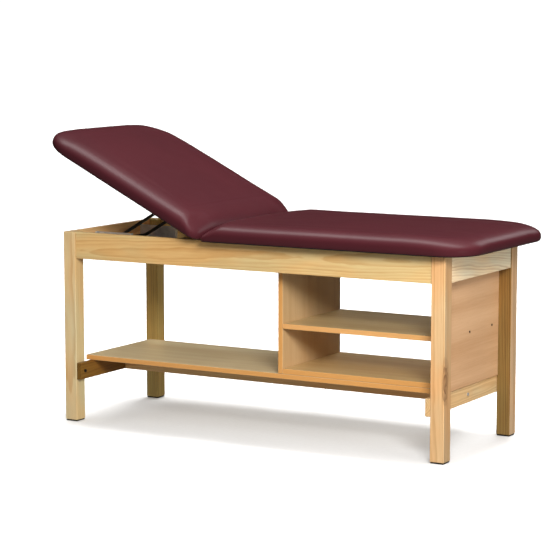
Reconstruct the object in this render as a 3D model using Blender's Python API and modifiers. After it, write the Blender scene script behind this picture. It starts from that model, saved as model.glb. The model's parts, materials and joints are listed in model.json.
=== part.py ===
"""Wooden treatment table with a lift back, lower shelf and open cabinet.

Metres, +Z up. +X runs to the foot end, -Y is the near side, where the cabinet opens.
Measures are taken from the frame's centre on the floor; the root empty then shifts the
table so that the origin is the centre of its own outline on the floor.
"""

import math

import bmesh
import bpy
from mathutils import Matrix, Vector

ORIGIN_SHIFT_X = -0.02299

# Gaps
GAP = 0.0003
RUN_CLEARANCE = 0.0001

# Frame
FRAME_LENGTH = 1.590
FRAME_WIDTH = 0.610
FRAME_TOP = 0.7225
LEG_SIDE = 0.054
GLIDE_HEIGHT = 0.004
GLIDE_SIDE = 0.050
APRON_HEIGHT = 0.100
APRON_THICK = 0.019
SIDE_APRON_RECESS = 0.0025
END_APRON_RECESS = 0.004
LEG_ROUND = 0.003
BOARD_ROUND = 0.0015

# Lower H-shaped brace
RAIL_THICK = 0.019
RAIL_HEIGHT = 0.0635
RAIL_BOTTOM = 0.1615
RAIL_RECESS = 0.0005

# Boards
BOARD = 0.019
SHELF_DEPTH = 0.440
SHELF_HEAD_X = -0.757
END_PANEL_X = 0.7465
DIVIDER_X = 0.0893
CABINET_TOP = 0.700
CABINET_SHELF_Z = 0.409
END_PANEL_WIDTH = 0.499

# Upholstered top
TOP_WIDTH = 0.740
TOP_HEIGHT = 0.7875
DECK_THICK = 0.012
SKIRT_LIFT = 0.004
DECK_INSET = 0.010
DECK_INSET_HINGE = 0.016
SEAT_END_X = 0.902
HINGE_X = -0.173
BACK_LENGTH = 0.769
CORNER_RADIUS = 0.130
HINGE_CORNER_RADIUS = 0.055
EDGE_ROLL = 0.045
SKIRT_ROUND = 0.005
HINGE_LEAN_DEG = 22.5
REST_ANGLE_DEG = 26.4

# Hinges
HINGE_DROP = 0.004
HINGE_Y = 0.200
LEAF_WIDTH = 0.040
LEAF_LENGTH = 0.064
LEAF_THICK = 0.002
KNUCKLE_RADIUS = 0.004
LEAF_EDGE = 0.0012
PIN_RADIUS = 0.0018
HINGE_RAIL_X = -0.112

# Bail: a U of round rod hung under the back board
ROD_RADIUS = 0.00635
BAIL_HALF_WIDTH = 0.110
BAIL_ARM = 0.306
BAIL_PIVOT_REACH = 0.285
BAIL_PIVOT_DROP = 0.020
BAIL_BEND = 0.016
BAIL_REST_DEG = 30.35
TRUNNION_END_Y = 0.136
EAR_Y = 0.1245
EAR_THICK = 0.003
EAR_RADIUS = 0.011
PLATE_LENGTH = 0.052
PLATE_WIDTH = 0.030
BAIL_SCREW_SPREAD = 0.0187
BAIL_SCREW_Y = 0.0186
ROD_CLEARANCE = 0.0003

# Racks that the bail's cross bar rests on
RACK_HEAD_X = -0.750
RACK_FOOT_X = -0.585
RACK_WEB_Y = 0.150
RACK_LIP_Y = 0.083
RACK_BASE_Z = 0.6535
RACK_WEB_TOP = 0.7115
RACK_TOOTH_TOP = 0.6701
RACK_SHEET = 0.0025
RACK_TAB = 0.012
RACK_NOTCHES = 8
RACK_NOTCH_RADIUS = 0.0062
RACK_RAIL_X = (-0.720, -0.615)
RACK_RAIL_WIDTH = 0.040
RACK_SCREW_Y = 0.116

# Fasteners
BOLT_HEAD_RADIUS = 0.0060
BOLT_HEAD_HEIGHT = 0.0035
BOLT_SHANK_RADIUS = 0.0030
BOLT_INTO_LEG = 0.020
PANEL_SCREW_HEAD = 0.0042
PANEL_SCREW_Y = 0.190
PANEL_SCREW_INTO = 0.016
SMALL_HEAD_RADIUS = 0.0040
SMALL_HEAD_HEIGHT = 0.0020
SMALL_SHANK_RADIUS = 0.0018
SOCKET_SHARE = 0.45
SOCKET_FLOOR_SHARE = 0.4
RACK_SCREW_INTO = 0.0114
BAIL_SCREW_INTO = 0.0084
SHANK_CLEARANCE = 0.0003
SIDES_ROD = 24
SIDES_SMALL = 12
SIDES_HINGE = 32

MAPLE = (0.80, 0.60, 0.36)
MAPLE_DARK = (0.52, 0.36, 0.19)
LAMINATE = (0.66, 0.44, 0.27)
VINYL = (0.145, 0.028, 0.040)
BLACK = (0.012, 0.012, 0.013)
ZINC = (0.62, 0.63, 0.65)

HALF_LENGTH = FRAME_LENGTH / 2
HALF_WIDTH = FRAME_WIDTH / 2
LEG_INNER_X = HALF_LENGTH - LEG_SIDE
LEG_INNER_Y = HALF_WIDTH - LEG_SIDE
APRON_INNER_Y = HALF_WIDTH - SIDE_APRON_RECESS - APRON_THICK
RAIL_TOP = RAIL_BOTTOM + RAIL_HEIGHT
SHELF_Z = RAIL_TOP + GAP
SHELF_TOP = SHELF_Z + BOARD
DECK_Z = FRAME_TOP + GAP
HINGE_Z = DECK_Z - HINGE_DROP
REST_ANGLE = math.radians(REST_ANGLE_DEG)
BAIL_ANGLE = math.radians(BAIL_REST_DEG)

for old in list(bpy.data.objects):
    bpy.data.objects.remove(old, do_unlink=True)

parts = bpy.data.collections.new("treatment_table")
bpy.context.scene.collection.children.link(parts)
cutters = bpy.data.collections.new("cutters")
bpy.context.scene.collection.children.link(cutters)
materials = {}


def material(name, color, roughness, metallic=0.0):
    if name not in materials:
        made = bpy.data.materials.new(name)
        made.use_nodes = True
        shader = made.node_tree.nodes["Principled BSDF"]
        shader.inputs["Base Color"].default_value = (*color, 1.0)
        shader.inputs["Roughness"].default_value = roughness
        shader.inputs["Metallic"].default_value = metallic
        made.diffuse_color = (*color, 1.0)
        materials[name] = made
    return materials[name]


def empty(name, parent, location):
    made = bpy.data.objects.new(name, None)
    made.location = location
    made.parent = parent
    parts.objects.link(made)
    return made


def add(name, mesh, look, parent, location=(0, 0, 0)):
    """A part from a mesh, with its own material named for it."""
    made = bpy.data.objects.new(name, mesh)
    made.location = location
    made.parent = parent
    mesh.materials.append(material(f"{name}_material", *look))
    parts.objects.link(made)
    return made


def mesh_from(bm, name):
    mesh = bpy.data.meshes.new(name)
    bm.to_mesh(mesh)
    bm.free()
    return mesh


def smooth_mesh(bm, name, sharp_deg=40):
    """A mesh shaded smooth, with its corners kept sharp."""
    mesh = mesh_from(bm, name)
    mesh.shade_smooth()
    mesh.set_sharp_from_angle(angle=math.radians(sharp_deg))
    return mesh


def block_mesh(name, low, high):
    """A box between two corners, with its origin at the box's centre."""
    size = Vector(high) - Vector(low)
    bm = bmesh.new()
    bmesh.ops.create_cube(bm, size=1.0, matrix=Matrix.Diagonal((*size, 1.0)))
    return mesh_from(bm, name), (Vector(low) + Vector(high)) / 2


def round_edges(part, width, segments=2, angle_deg=40):
    bevel = part.modifiers.new("edges", "BEVEL")
    bevel.width = width
    bevel.segments = segments
    bevel.limit_method = "ANGLE"
    bevel.angle_limit = math.radians(angle_deg)
    return part


def board(name, low, high, look, parent, rounding=BOARD_ROUND, segments=1):
    mesh, centre = block_mesh(name, low, high)
    return round_edges(add(name, mesh, look, parent, centre), rounding, segments)


def turn_to(axis):
    """Rotation that carries +Z onto the named axis."""
    return Vector((0, 0, 1)).rotation_difference(Vector(axis)).to_matrix().to_4x4()


def cylinder_into(bm, radius, start, length, axis, sides):
    """A capped cylinder running the given length from start along axis."""
    middle = Vector(start) + Vector(axis) * (length / 2)
    place = Matrix.Translation(middle) @ turn_to(axis)
    bmesh.ops.create_cone(
        bm, cap_ends=True, segments=sides, radius1=radius, radius2=radius,
        depth=length, matrix=place,
    )


def cutter(name, bm, parent):
    made = bpy.data.objects.new(name, smooth_mesh(bm, name))
    made.parent = parent
    made.hide_render = True
    made.display_type = "WIRE"
    cutters.objects.link(made)
    return made


def boolean(part, tool, operation="DIFFERENCE"):
    step = part.modifiers.new(tool.name, "BOOLEAN")
    step.operation = operation
    step.solver = "EXACT"
    step.object = tool


def drill(name, targets, radius, start, length, axis, parent, sides=SIDES_SMALL):
    bm = bmesh.new()
    cylinder_into(bm, radius, start, length, axis, sides)
    tool = cutter(name, bm, parent)
    for target in targets:
        boolean(target, tool)


def cut_box(name, part, low, high, parent, operation="DIFFERENCE"):
    mesh, centre = block_mesh(name, low, high)
    tool = bpy.data.objects.new(name, mesh)
    tool.location = centre
    tool.parent = parent
    tool.hide_render = True
    tool.display_type = "WIRE"
    cutters.objects.link(tool)
    boolean(part, tool, operation)


def fastener(name, seat, axis, head, shank, look, parent, sides=SIDES_SMALL):
    """A socket-head fastener; seat is the point under the head, axis points outwards."""
    head_radius, head_height = head
    shank_radius, shank_length = shank
    outward = Vector(axis)
    bm = bmesh.new()
    cylinder_into(bm, head_radius, Vector(seat), head_height, outward, sides)
    part = add(name, smooth_mesh(bm, name), look, parent)
    bm = bmesh.new()
    start = Vector(seat) + outward * head_height / 2
    cylinder_into(bm, shank_radius, start, shank_length + head_height / 2, -outward, sides)
    boolean(part, cutter(f"{name}_shank", bm, parent), "UNION")
    bm = bmesh.new()
    start = Vector(seat) + outward * head_height * SOCKET_FLOOR_SHARE
    cylinder_into(bm, head_radius * SOCKET_SHARE, start, head_height, outward, 6)
    boolean(part, cutter(f"{name}_socket", bm, parent))
    return part


WOOD = (MAPLE, 0.42)
WOOD_DARK = (MAPLE_DARK, 0.45)
LAMINATED = (LAMINATE, 0.35)
UPHOLSTERY = (VINYL, 0.38)
BLACK_STEEL = (BLACK, 0.35, 0.6)
BLACK_PLASTIC = (BLACK, 0.5)
BLACK_CLOTH = (BLACK, 0.9)
ZINC_STEEL = (ZINC, 0.28, 1.0)

root = empty("treatment_table_root", None, (ORIGIN_SHIFT_X, 0, 0))

# Legs and glides
ENDS = (("head", -1), ("foot", 1))
SIDES = (("near", -1), ("far", 1))
legs = {}
for end, sx in ENDS:
    for side, sy in SIDES:
        x = sx * (HALF_LENGTH - LEG_SIDE / 2)
        y = sy * (HALF_WIDTH - LEG_SIDE / 2)
        half = LEG_SIDE / 2
        legs[end, side] = board(
            f"leg_{end}_{side}",
            (x - half, y - half, GLIDE_HEIGHT + GAP), (x + half, y + half, FRAME_TOP),
            WOOD, root, LEG_ROUND, 2,
        )
        half = GLIDE_SIDE / 2
        board(
            f"glide_{end}_{side}", (x - half, y - half, 0), (x + half, y + half, GLIDE_HEIGHT),
            BLACK_PLASTIC, root, 0.001,
        )

# Aprons
for side, sy in SIDES:
    outer = sy * (HALF_WIDTH - SIDE_APRON_RECESS)
    inner = sy * APRON_INNER_Y
    reach = LEG_INNER_X - GAP
    board(
        f"side_apron_{side}",
        (-reach, min(outer, inner), FRAME_TOP - APRON_HEIGHT), (reach, max(outer, inner), FRAME_TOP),
        WOOD, root,
    )
for end, sx in ENDS:
    outer = sx * (HALF_LENGTH - END_APRON_RECESS)
    inner = outer - sx * APRON_THICK
    reach = LEG_INNER_Y - GAP
    board(
        f"end_apron_{end}",
        (min(outer, inner), -reach, FRAME_TOP - APRON_HEIGHT), (max(outer, inner), reach, FRAME_TOP),
        WOOD, root,
    )

# Brace: two cross rails lapped on the legs' inner faces, and a centre stretcher
rail_outer = LEG_INNER_X - GAP
rail_inner = rail_outer - RAIL_THICK
rails = {}
for end, sx in ENDS:
    reach = HALF_WIDTH - RAIL_RECESS
    rails[end] = board(
        f"cross_rail_{end}",
        (min(sx * rail_outer, sx * rail_inner), -reach, RAIL_BOTTOM),
        (max(sx * rail_outer, sx * rail_inner), reach, RAIL_TOP),
        WOOD, root,
    )
stretcher = board(
    "centre_stretcher",
    (-rail_inner + GAP, -RAIL_THICK / 2, RAIL_BOTTOM), (rail_inner - GAP, RAIL_THICK / 2, RAIL_TOP),
    WOOD, root,
)

# Bolts of the brace
bolt_z = RAIL_BOTTOM + RAIL_HEIGHT / 2
bolt_head = (BOLT_HEAD_RADIUS, BOLT_HEAD_HEIGHT)
hole = BOLT_SHANK_RADIUS + SHANK_CLEARANCE
for end, sx in ENDS:
    rail = rails[end]
    for side, sy in SIDES:
        y = sy * (HALF_WIDTH - LEG_SIDE / 2)
        seat = sx * (rail_inner - GAP)
        shank = RAIL_THICK + 2 * GAP + BOLT_INTO_LEG
        fastener(
            f"rail_bolt_{end}_{side}", (seat, y, bolt_z), (-sx, 0, 0), bolt_head,
            (BOLT_SHANK_RADIUS, shank), BLACK_STEEL, root,
        )
        drill(
            f"rail_bolt_hole_{end}_{side}", [rail, legs[end, side]], hole,
            (seat - sx * GAP, y, bolt_z), shank + 3 * GAP, (sx, 0, 0), root,
        )
    seat = sx * (rail_outer + GAP)
    shank = RAIL_THICK + 2 * GAP + BOLT_INTO_LEG
    fastener(
        f"stretcher_bolt_{end}", (seat, 0, bolt_z), (sx, 0, 0), bolt_head,
        (BOLT_SHANK_RADIUS, shank), ZINC_STEEL, root,
    )
    drill(
        f"stretcher_bolt_hole_{end}", [rail, stretcher], hole,
        (seat + sx * GAP, 0, bolt_z), shank + 3 * GAP, (-sx, 0, 0), root,
    )

# Shelf and cabinet
half_depth = SHELF_DEPTH / 2
cabinet_left = DIVIDER_X + BOARD + GAP
cabinet_right = END_PANEL_X - BOARD - GAP
board(
    "lower_shelf", (SHELF_HEAD_X, -half_depth, SHELF_Z), (cabinet_right, half_depth, SHELF_TOP),
    LAMINATED, root,
)
base_z = SHELF_TOP + GAP
board(
    "cabinet_base", (cabinet_left, -half_depth, base_z), (cabinet_right, half_depth, base_z + BOARD),
    LAMINATED, root,
)
board(
    "cabinet_divider", (DIVIDER_X, -half_depth, base_z), (DIVIDER_X + BOARD, half_depth, CABINET_TOP),
    LAMINATED, root,
)
cabinet_shelf = board(
    "cabinet_shelf", (cabinet_left, -half_depth, CABINET_SHELF_Z),
    (cabinet_right, half_depth, CABINET_SHELF_Z + BOARD), LAMINATED, root,
)
end_panel = board(
    "cabinet_end_panel", (END_PANEL_X - BOARD, -END_PANEL_WIDTH / 2, SHELF_Z),
    (END_PANEL_X, END_PANEL_WIDTH / 2, CABINET_TOP), LAMINATED, root,
)
screw_z = CABINET_SHELF_Z + BOARD / 2
for label, y in (("near", -PANEL_SCREW_Y), ("centre", 0.0), ("far", PANEL_SCREW_Y)):
    shank = BOARD + 2 * GAP + PANEL_SCREW_INTO
    seat = END_PANEL_X + GAP
    fastener(
        f"panel_screw_{label}", (seat, y, screw_z), (1, 0, 0),
        (PANEL_SCREW_HEAD, SMALL_HEAD_HEIGHT / 2), (SMALL_SHANK_RADIUS, shank), BLACK_STEEL, root,
    )
    drill(
        f"panel_screw_hole_{label}", [end_panel, cabinet_shelf], SMALL_SHANK_RADIUS + SHANK_CLEARANCE,
        (seat + GAP, y, screw_z), shank + 3 * GAP, (-1, 0, 0), root,
    )

# Rails inside the frame: one near the hinge line, two under the racks
rail_reach = APRON_INNER_Y - GAP
board(
    "hinge_rail", (HINGE_RAIL_X, -rail_reach, FRAME_TOP - RAIL_HEIGHT),
    (HINGE_RAIL_X + RAIL_THICK, rail_reach, FRAME_TOP), WOOD_DARK, root,
)
rack_rail_top = RACK_BASE_Z - GAP
rack_rails = []
for (end, _), x in zip(ENDS, RACK_RAIL_X):
    rack_rails.append(board(
        f"rack_rail_{end}", (x - RACK_RAIL_WIDTH / 2, -rail_reach, rack_rail_top - RAIL_THICK),
        (x + RACK_RAIL_WIDTH / 2, rail_reach, rack_rail_top), WOOD_DARK, root,
    ))

# Racks: sheet-steel channels with a tall outer web and a notched inner lip
small_head = (SMALL_HEAD_RADIUS, SMALL_HEAD_HEIGHT)
pitch = (RACK_FOOT_X - RACK_HEAD_X) / RACK_NOTCHES
for side, sy in SIDES:
    name = f"rack_bracket_{side}"
    low_y = min(sy * RACK_LIP_Y, sy * RACK_WEB_Y)
    high_y = max(sy * RACK_LIP_Y, sy * RACK_WEB_Y)
    mesh, centre = block_mesh(
        name, (RACK_HEAD_X, low_y, RACK_BASE_Z), (RACK_FOOT_X, high_y, RACK_WEB_TOP),
    )
    bracket = add(name, mesh, ZINC_STEEL, root, centre)
    channel_z = RACK_BASE_Z + RACK_SHEET
    cut_box(
        f"{name}_channel", bracket, (RACK_HEAD_X - GAP, low_y + RACK_SHEET, channel_z),
        (RACK_FOOT_X + GAP, high_y - RACK_SHEET, RACK_WEB_TOP + GAP), root,
    )
    middle_y = (low_y + high_y) / 2
    lip_low = middle_y if sy < 0 else low_y - GAP
    lip_high = high_y + GAP if sy < 0 else middle_y
    cut_box(
        f"{name}_lip_top", bracket, (RACK_HEAD_X - GAP, lip_low, RACK_TOOTH_TOP),
        (RACK_FOOT_X + GAP, lip_high, RACK_WEB_TOP + 2 * GAP), root,
    )
    root_y = sy * (RACK_WEB_Y - RACK_SHEET / 2)
    tip_y = sy * (RACK_WEB_Y + RACK_TAB)
    for end, x in (("head", RACK_HEAD_X + GAP), ("foot", RACK_FOOT_X - RACK_SHEET - GAP)):
        cut_box(
            f"{name}_tab_{end}", bracket, (x, min(root_y, tip_y), RACK_BASE_Z + 2 * GAP),
            (x + RACK_SHEET, max(root_y, tip_y), RACK_WEB_TOP - 2 * GAP), root, "UNION",
        )
    for i in range(RACK_NOTCHES):
        x = RACK_HEAD_X + pitch * (i + 0.5)
        lip_y = sy * (RACK_LIP_Y + RACK_SHEET / 2) - RACK_SHEET * 1.5
        start = (x, lip_y, RACK_TOOTH_TOP + RACK_NOTCH_RADIUS / 2)
        drill(
            f"{name}_notch_{i}", [bracket], RACK_NOTCH_RADIUS, start, RACK_SHEET * 3,
            (0, 1, 0), root,
        )
    for (end, _), x, rack_rail in zip(ENDS, RACK_RAIL_X, rack_rails):
        y = sy * RACK_SCREW_Y
        seat = RACK_BASE_Z + RACK_SHEET + GAP
        shank = RACK_SHEET + GAP + RACK_SCREW_INTO
        fastener(
            f"rack_screw_{side}_{end}", (x, y, seat), (0, 0, 1), small_head,
            (SMALL_SHANK_RADIUS, shank), BLACK_STEEL, root,
        )
        drill(
            f"rack_screw_hole_{side}_{end}", [bracket, rack_rail],
            SMALL_SHANK_RADIUS + SHANK_CLEARANCE, (x, y, seat + GAP), shank + 3 * GAP,
            (0, 0, -1), root,
        )

# Upholstered top: the seat is fixed, the back turns on the hinge line
seat_pivot = empty("seat_datum", root, (HINGE_X, 0, HINGE_Z))
back_pivot = empty("back_pivot", root, (HINGE_X, 0, HINGE_Z))
back_pivot.rotation_euler = (0, REST_ANGLE, 0)
pad_top = TOP_HEIGHT - HINGE_Z
deck_low = HINGE_DROP
deck_high = deck_low + DECK_THICK


def plan_corners(bm, x_hinge, x_end, radius_end, radius_hinge):
    """Rounds the upright corners, wide at the outer end and narrow at the hinge."""
    for x, radius, segments in ((x_end, radius_end, 8), (x_hinge, radius_hinge, 4)):
        upright = [
            e for e in bm.edges
            if abs(e.verts[0].co.z - e.verts[1].co.z) > 0.001
            and all(abs(v.co.x - x) < 0.0001 for v in e.verts)
        ]
        bmesh.ops.bevel(
            bm, geom=upright, offset=radius, offset_type="OFFSET",
            segments=segments, profile=0.5, affect="EDGES",
        )


def slab(x_hinge, x_end, half_width, low, high, radii):
    bm = bmesh.new()
    size = Vector((abs(x_end - x_hinge), 2 * half_width, high - low))
    place = Matrix.Translation(((x_hinge + x_end) / 2, 0, (low + high) / 2))
    bmesh.ops.create_cube(bm, size=1.0, matrix=place @ Matrix.Diagonal((*size, 1.0)))
    plan_corners(bm, x_hinge, x_end, *radii)
    return bm


def rim(bm, z):
    return [
        e for e in bm.edges
        if all(abs(v.co.z - z) < 0.0001 for v in e.verts) and len(e.link_faces) == 2
    ]


def cushion(name, length, direction, parent):
    low = HINGE_DROP + SKIRT_LIFT
    start = direction * low * math.tan(math.radians(HINGE_LEAN_DEG))
    bm = slab(
        start, direction * length, TOP_WIDTH / 2, low, pad_top,
        (CORNER_RADIUS, HINGE_CORNER_RADIUS),
    )
    bmesh.ops.bevel(
        bm, geom=rim(bm, pad_top), offset=EDGE_ROLL, segments=5, profile=0.5, affect="EDGES",
    )
    bmesh.ops.bevel(
        bm, geom=rim(bm, low), offset=SKIRT_ROUND, segments=1, profile=0.5, affect="EDGES",
    )
    lean = math.tan(math.radians(HINGE_LEAN_DEG))
    fade = CORNER_RADIUS
    for vert in bm.verts:
        near = 1.0 - min(1.0, max(0.0, (abs(vert.co.x - start) - EDGE_ROLL) / fade))
        vert.co.x += direction * lean * (vert.co.z - low) * near
    part = add(name, smooth_mesh(bm, name), UPHOLSTERY, parent)
    pocket = slab(
        direction * (DECK_INSET_HINGE - GAP), direction * (length - DECK_INSET + GAP),
        TOP_WIDTH / 2 - DECK_INSET + GAP, 0.0, deck_high + GAP,
        (CORNER_RADIUS - DECK_INSET + GAP, HINGE_CORNER_RADIUS - DECK_INSET),
    )
    boolean(part, cutter(f"{name}_pocket", pocket, parent))
    return part


def deck(name, length, direction, parent):
    bm = slab(
        direction * DECK_INSET_HINGE, direction * (length - DECK_INSET),
        TOP_WIDTH / 2 - DECK_INSET, deck_low, deck_high,
        (CORNER_RADIUS - DECK_INSET, HINGE_CORNER_RADIUS - DECK_INSET),
    )
    return add(name, mesh_from(bm, name), BLACK_CLOTH, parent)


deck("seat_deck", SEAT_END_X - HINGE_X, 1, seat_pivot)
cushion("seat_cushion", SEAT_END_X - HINGE_X, 1, seat_pivot)
back_deck = deck("back_deck", BACK_LENGTH, -1, back_pivot)
cushion("back_cushion", BACK_LENGTH, -1, back_pivot)

# Butt hinges: a leaf under each deck, three knuckles and a pin
knuckle = LEAF_LENGTH / 3


def leaf(name, y, direction, spans, parent):
    low_x = direction * LEAF_EDGE
    high_x = direction * LEAF_WIDTH
    top = HINGE_DROP - GAP
    mesh, centre = block_mesh(
        name, (min(low_x, high_x), y - LEAF_LENGTH / 2, top - LEAF_THICK),
        (max(low_x, high_x), y + LEAF_LENGTH / 2, top),
    )
    part = add(name, mesh, BLACK_STEEL, parent, centre)
    for i in range(3):
        start = y - LEAF_LENGTH / 2 + i * knuckle
        if i in spans:
            bm = bmesh.new()
            cylinder_into(
                bm, KNUCKLE_RADIUS, (0, start + GAP, 0), knuckle - 2 * GAP, (0, 1, 0), SIDES_HINGE,
            )
            boolean(part, cutter(f"{name}_knuckle_{i}", bm, parent), "UNION")
        else:
            bm = bmesh.new()
            reach = 2 * (KNUCKLE_RADIUS + GAP)
            place = Matrix.Translation((0, start + knuckle / 2, 0))
            size = Matrix.Diagonal((reach, knuckle + 0.5 * GAP, reach, 1.0))
            bmesh.ops.create_cube(bm, size=1.0, matrix=place @ size)
            boolean(part, cutter(f"{name}_notch_{i}", bm, parent))
    bm = bmesh.new()
    cylinder_into(
        bm, PIN_RADIUS + RUN_CLEARANCE, (0, y - LEAF_LENGTH, 0), 2 * LEAF_LENGTH,
        (0, 1, 0), SIDES_HINGE,
    )
    boolean(part, cutter(f"{name}_bore", bm, parent))
    return part


for side, sy in SIDES:
    y = sy * HINGE_Y
    leaf(f"hinge_leaf_seat_{side}", y, 1, (0, 2), seat_pivot)
    leaf(f"hinge_leaf_back_{side}", y, -1, (1,), back_pivot)
    bm = bmesh.new()
    cylinder_into(
        bm, PIN_RADIUS, (0, y - LEAF_LENGTH / 2 - GAP, 0), LEAF_LENGTH + 2 * GAP,
        (0, 1, 0), SIDES_HINGE,
    )
    add(f"hinge_pin_{side}", smooth_mesh(bm, "hinge_pin"), ZINC_STEEL, seat_pivot)

# Pivot brackets of the bail: a plate under the back board with one ear
pivot_z = HINGE_DROP - BAIL_PIVOT_DROP
plate_top = deck_low - GAP
for side, sy in SIDES:
    name = f"bail_bracket_{side}"
    plate_inner = sy * (EAR_Y - EAR_THICK / 2)
    plate_outer = plate_inner + sy * PLATE_WIDTH
    mesh, centre = block_mesh(
        name, (-BAIL_PIVOT_REACH - PLATE_LENGTH / 2, min(plate_inner, plate_outer), plate_top - EAR_THICK),
        (-BAIL_PIVOT_REACH + PLATE_LENGTH / 2, max(plate_inner, plate_outer), plate_top),
    )
    bracket = add(name, mesh, BLACK_STEEL, back_pivot, centre)
    bm = bmesh.new()
    ear_low = sy * EAR_Y - EAR_THICK / 2
    cylinder_into(
        bm, EAR_RADIUS, (-BAIL_PIVOT_REACH, ear_low, pivot_z), EAR_THICK, (0, 1, 0), SIDES_HINGE,
    )
    boolean(bracket, cutter(f"{name}_ear", bm, back_pivot), "UNION")
    bm = bmesh.new()
    height = plate_top - pivot_z
    place = Matrix.Translation((-BAIL_PIVOT_REACH, sy * EAR_Y, pivot_z + height / 2))
    size = Matrix.Diagonal((2 * EAR_RADIUS, EAR_THICK, height, 1.0))
    bmesh.ops.create_cube(bm, size=1.0, matrix=place @ size)
    boolean(bracket, cutter(f"{name}_neck", bm, back_pivot), "UNION")
    drill(
        f"{name}_bore", [bracket], ROD_RADIUS + ROD_CLEARANCE,
        (-BAIL_PIVOT_REACH, ear_low - EAR_THICK, pivot_z), 3 * EAR_THICK, (0, 1, 0),
        back_pivot, SIDES_ROD,
    )
    for label, sx in (("head", -1), ("foot", 1)):
        x = -BAIL_PIVOT_REACH + sx * BAIL_SCREW_SPREAD
        y = plate_inner + sy * BAIL_SCREW_Y
        seat = plate_top - EAR_THICK - GAP
        shank = EAR_THICK + GAP + BAIL_SCREW_INTO
        fastener(
            f"bail_screw_{side}_{label}", (x, y, seat), (0, 0, -1), small_head,
            (SMALL_SHANK_RADIUS, shank), ZINC_STEEL, back_pivot,
        )
        drill(
            f"bail_screw_hole_{side}_{label}", [bracket, back_deck],
            SMALL_SHANK_RADIUS + SHANK_CLEARANCE, (x, y, seat - GAP), shank + 3 * GAP,
            (0, 0, 1), back_pivot,
        )

# The bail, bent from one rod: trunnion, arm, cross bar, arm, trunnion
bail_pivot = empty("bail_pivot", back_pivot, (-BAIL_PIVOT_REACH, 0, pivot_z))
bail_pivot.rotation_euler = (0, -REST_ANGLE - BAIL_ANGLE, 0)


def rounded_path(corners, radius, steps):
    """The corners' polyline with each inner corner replaced by an arc."""
    path = [Vector(corners[0])]
    for before, here, after in zip(corners, corners[1:], corners[2:]):
        here = Vector(here)
        to_before = (Vector(before) - here).normalized()
        to_after = (Vector(after) - here).normalized()
        half = to_before.angle(to_after) / 2
        centre = here + (to_before + to_after).normalized() * radius / math.sin(half)
        first = here + to_before * radius / math.tan(half)
        last = here + to_after * radius / math.tan(half)
        sweep = (first - centre).rotation_difference(last - centre)
        for i in range(steps + 1):
            turn = sweep.copy()
            turn.angle = sweep.angle * i / steps
            path.append(centre + turn @ (first - centre))
    path.append(Vector(corners[-1]))
    return path


corners = (
    (0, -TRUNNION_END_Y, 0), (0, -BAIL_HALF_WIDTH, 0), (-BAIL_ARM, -BAIL_HALF_WIDTH, 0),
    (-BAIL_ARM, BAIL_HALF_WIDTH, 0), (0, BAIL_HALF_WIDTH, 0), (0, TRUNNION_END_Y, 0),
)
trunnion_bend = ROD_RADIUS
path = rounded_path(corners[:3], trunnion_bend, 3)[:-1]
path += rounded_path(corners[1:5], BAIL_BEND, 5)[1:-1]
path += rounded_path(corners[3:], trunnion_bend, 3)[1:]
curve = bpy.data.curves.new("bail", "CURVE")
curve.dimensions = "3D"
curve.bevel_depth = ROD_RADIUS
curve.bevel_resolution = 4
curve.use_fill_caps = True
spline = curve.splines.new("POLY")
spline.points.add(len(path) - 1)
for point, place in zip(spline.points, path):
    point.co = (*place, 1.0)
bail = add("bail", curve, BLACK_STEEL, bail_pivot)
weld = bail.modifiers.new("caps", "WELD")
weld.merge_threshold = 0.00005
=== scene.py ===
import json
import math

import bpy
import numpy as np
from mathutils import Matrix, Vector, noise


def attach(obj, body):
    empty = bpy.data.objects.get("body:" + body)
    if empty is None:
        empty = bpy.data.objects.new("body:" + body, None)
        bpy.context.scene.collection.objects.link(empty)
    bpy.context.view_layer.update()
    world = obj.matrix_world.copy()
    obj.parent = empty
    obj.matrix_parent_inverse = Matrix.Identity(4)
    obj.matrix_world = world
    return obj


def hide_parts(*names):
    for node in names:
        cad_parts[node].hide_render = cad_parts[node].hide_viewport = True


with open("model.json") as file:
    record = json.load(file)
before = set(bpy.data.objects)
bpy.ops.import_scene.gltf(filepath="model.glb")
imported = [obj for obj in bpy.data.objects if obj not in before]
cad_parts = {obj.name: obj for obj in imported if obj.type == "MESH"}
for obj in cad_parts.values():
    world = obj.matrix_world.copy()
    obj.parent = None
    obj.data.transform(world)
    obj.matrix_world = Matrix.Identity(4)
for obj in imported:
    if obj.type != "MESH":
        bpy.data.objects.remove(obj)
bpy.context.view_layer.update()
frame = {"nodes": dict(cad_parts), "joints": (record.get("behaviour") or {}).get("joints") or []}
nodes = frame["nodes"]
joints = {j["name"]: j for j in frame["joints"]}
scene = bpy.context.scene

# ---------------------------------------------------------------- dimensions
# Metres. Pads are laid out along u from the hinge, v across the table and w up from the hinge.
HINGE = Vector(joints["back_hinge"]["pos_m"])
REST_ANGLE = math.radians(26.4)
HALF_WIDTH = 0.370
SEAT_LENGTH = 1.075
BACK_LENGTH = 0.769
DECK_LOW = 0.0040               # the pads' underside
PAD_EDGE = 0.0715               # top of the edge roll
PAD_CROWN = 0.0010
ROLL_WIDTH = 0.090
ROLL_POWER = 2.6
SKIRT_TOP = 0.0200              # from the underside up to where the roll starts
OUTER_RADIUS = 0.130
HINGE_RADIUS = 0.042
LEAN = math.tan(math.radians(22.5))     # the hinge faces clear each other up to 45 degrees


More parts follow.
